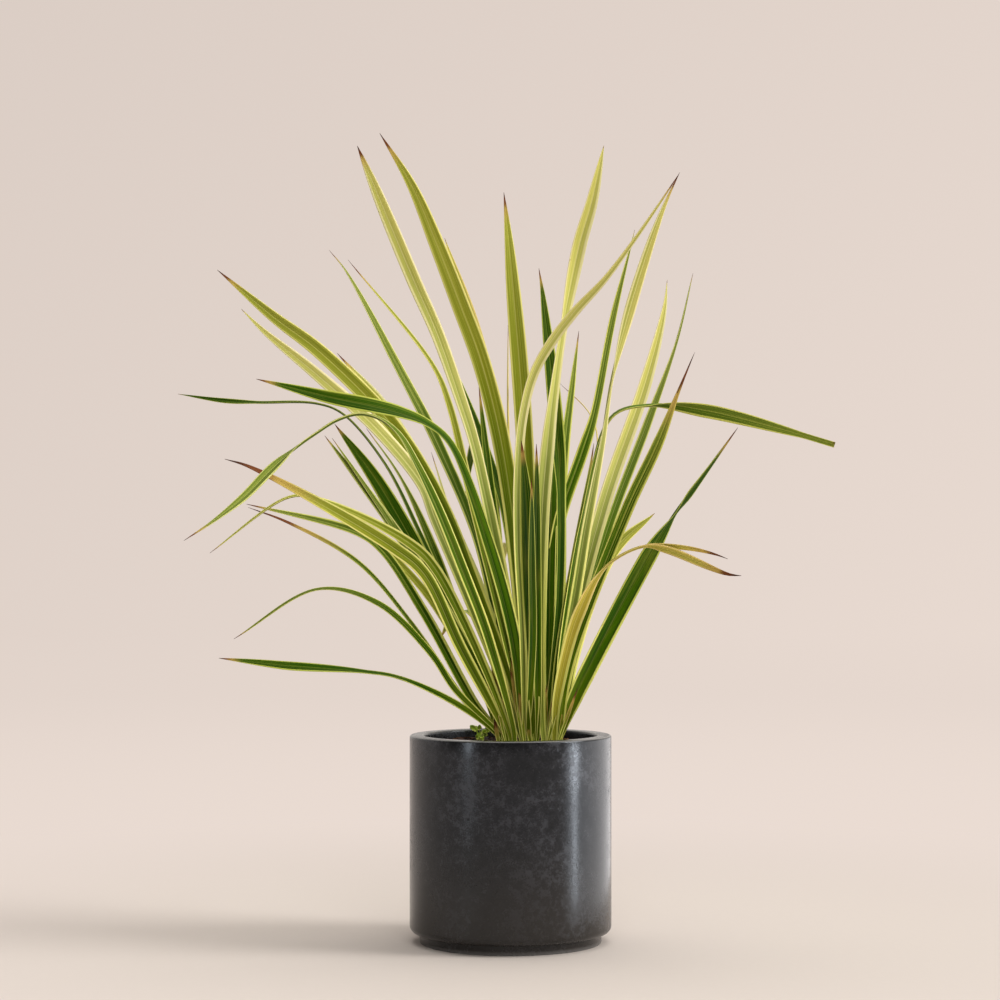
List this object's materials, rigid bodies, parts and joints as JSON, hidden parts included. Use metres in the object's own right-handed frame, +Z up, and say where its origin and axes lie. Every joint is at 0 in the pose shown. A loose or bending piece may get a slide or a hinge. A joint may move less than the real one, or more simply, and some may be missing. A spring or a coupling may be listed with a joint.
{
  "type": "potted new zealand flax",
  "caption": "Clump of long striped strap leaves fanning up and out of a plain round dark planter filled with soil.",
  "frame": {"origin": "centre of the pot's underside, on the pot's axis", "axes": "+Z up along the pot's axis, the plant's front faces -Y, +X to the right seen from the front"},
  "size_m": [0.814, 0.8657, 0.9462],
  "materials": {
    "pot": "dark charcoal, smooth and half glossy, faintly mottled",
    "soil": "dark crumbly bark and peat mix",
    "leaf": "green strap leaves with cream and yellow stripes and margins, satin"
  },
  "bodies": {
    "root": {"pot": "pot", "soil": "soil", "fan_left_front": "leaf", "fan_left_middle": "leaf", "fan_left_back": "leaf", "fan_middle_front": "leaf", "fan_middle": "leaf", "fan_middle_back": "leaf", "fan_right_front": "leaf", "fan_right_middle": "leaf", "fan_right_back": "leaf"}
  },
  "joints": []
}
